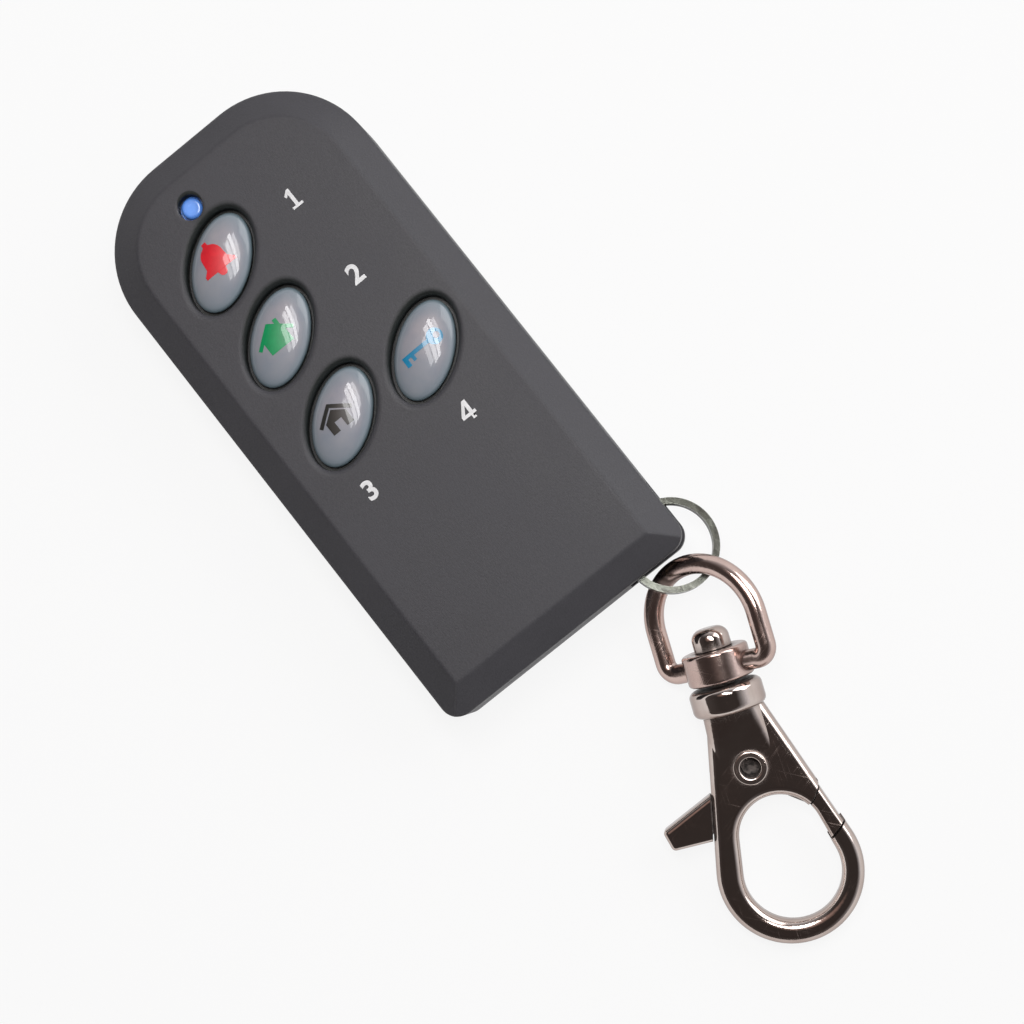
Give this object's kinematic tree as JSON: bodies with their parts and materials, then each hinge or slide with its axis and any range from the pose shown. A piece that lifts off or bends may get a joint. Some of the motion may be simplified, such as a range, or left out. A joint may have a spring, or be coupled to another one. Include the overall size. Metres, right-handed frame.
{
  "type": "wireless remote control",
  "caption": "Handheld alarm remote: bevelled grey casing with oval push buttons, an indicator light, and a swivel snap hook on a split ring at one corner.",
  "frame": {"origin": "middle of the casing's flat back face", "axes": "+X to the right seen from the button side, +Y towards the rounded end, +Z out of the button face"},
  "size_m": [0.0383, 0.1204, 0.0127],
  "materials": {
    "casing_plastic": "fine matte texture",
    "inner_plastic": "matte",
    "button_pearl": "glossy pearl",
    "button_cap_plastic": "satin",
    "light_lens": "clear, light blue",
    "light_chip_resin": "gloss",
    "nickel": "polished nickel plate",
    "spring_steel": "bare spring steel",
    "screw_steel": "zinc plate",
    "cell_can": "satin steel",
    "contact_plate": "nickel plate",
    "board_laminate": "lacquered",
    "board_copper": "tinned copper",
    "chip_resin": "moulded resin",
    "chip_ceramic": "fired",
    "seal_rubber": "matte",
    "ink_white": "printing ink",
    "ink_red": "printing ink under gloss",
    "ink_green": "printing ink under gloss",
    "ink_black": "printing ink under gloss",
    "ink_blue": "printing ink under gloss"
  },
  "bodies": {
    "casing": {"front_shell": "casing_plastic", "back_shell": "casing_plastic", "battery_cover_seal": "seal_rubber", "coin_cell": "cell_can", "battery_contact_positive": "contact_plate", "battery_contact_negative": "contact_plate", "case_screws": "screw_steel", "key_post": "nickel", "circuit_board": "board_laminate", "antenna_trace": "board_copper", "indicator_light_chip": "light_chip_resin", "indicator_light_pipe": "light_lens", "encoder_chip": "chip_resin", "resonator_can": "cell_can", "rf_transistor": "chip_resin", "trimmer_capacitor": "chip_ceramic", "chip_resistors": "chip_resin", "chip_capacitors": "chip_ceramic", "red_switch_housing": "inner_plastic", "green_switch_housing": "inner_plastic", "black_switch_housing": "inner_plastic", "blue_switch_housing": "inner_plastic"},
    "battery_cover": {"battery_cover": "casing_plastic"},
    "red_button": {"red_button_cap": "button_cap_plastic", "red_button_dome": "button_pearl", "red_switch_plunger": "inner_plastic"},
    "green_button": {"green_button_cap": "button_cap_plastic", "green_button_dome": "button_pearl", "green_switch_plunger": "inner_plastic"},
    "black_button": {"black_button_cap": "button_cap_plastic", "black_button_dome": "button_pearl", "black_switch_plunger": "inner_plastic"},
    "blue_button": {"blue_button_cap": "button_cap_plastic", "blue_button_dome": "button_pearl", "blue_switch_plunger": "inner_plastic"},
    "split_ring": {"split_ring": "spring_steel"},
    "swivel_eye": {"swivel_eye": "nickel"},
    "snap_hook": {"hook_body": "nickel", "swivel_rivet": "nickel", "lever_rivet": "nickel", "lever_spring": "spring_steel"},
    "lever": {"gate_lever": "nickel"}
  },
  "joints": [
    {"name": "red_button_press", "type": "slide", "parent": "casing", "child": "red_button", "axis": [0, 0, -1], "range_m": [0, 0.00045], "stiffness_N_per_m": 600, "springref_m": -0.0003},
    {"name": "green_button_press", "type": "slide", "parent": "casing", "child": "green_button", "axis": [0, 0, -1], "range_m": [0, 0.00045], "stiffness_N_per_m": 600, "springref_m": -0.0003},
    {"name": "black_button_press", "type": "slide", "parent": "casing", "child": "black_button", "axis": [0, 0, -1], "range_m": [0, 0.00045], "stiffness_N_per_m": 600, "springref_m": -0.0003},
    {"name": "blue_button_press", "type": "slide", "parent": "casing", "child": "blue_button", "axis": [0, 0, -1], "range_m": [0, 0.00045], "stiffness_N_per_m": 600, "springref_m": -0.0003},
    {"name": "battery_cover_turn", "type": "hinge", "parent": "casing", "child": "battery_cover", "pos_m": [-0.002, -0.0175, 0], "axis": [0, 0, 1], "range_deg": [0, 45]},
    {"name": "split_ring_swing", "type": "hinge", "parent": "casing", "child": "split_ring", "pos_m": [0.0141, -0.0329, 0], "axis": [0, 0, 1], "range_deg": [-10, 45]},
    {"name": "swivel_eye_tilt", "type": "hinge", "parent": "split_ring", "child": "swivel_eye", "pos_m": [0.01536, -0.03932, 0.0064], "axis": [0.7736, -0.3726, 0.5125], "range_deg": [-8, 50]},
    {"name": "hook_swivel", "type": "hinge", "parent": "swivel_eye", "child": "snap_hook", "pos_m": [0.00999, -0.05239, 0.00499], "axis": [0.3776, 0.9206, 0.0993], "continuous": true},
    {"name": "hook_lever_press", "type": "hinge", "parent": "snap_hook", "child": "lever", "pos_m": [0.00629, -0.06216, 0.00395], "axis": [0.0377, 0.0919, -0.9951], "range_deg": [0, 22], "stiffness_Nm_per_rad": 0.008, "springref_deg": -20.05}
  ]
}
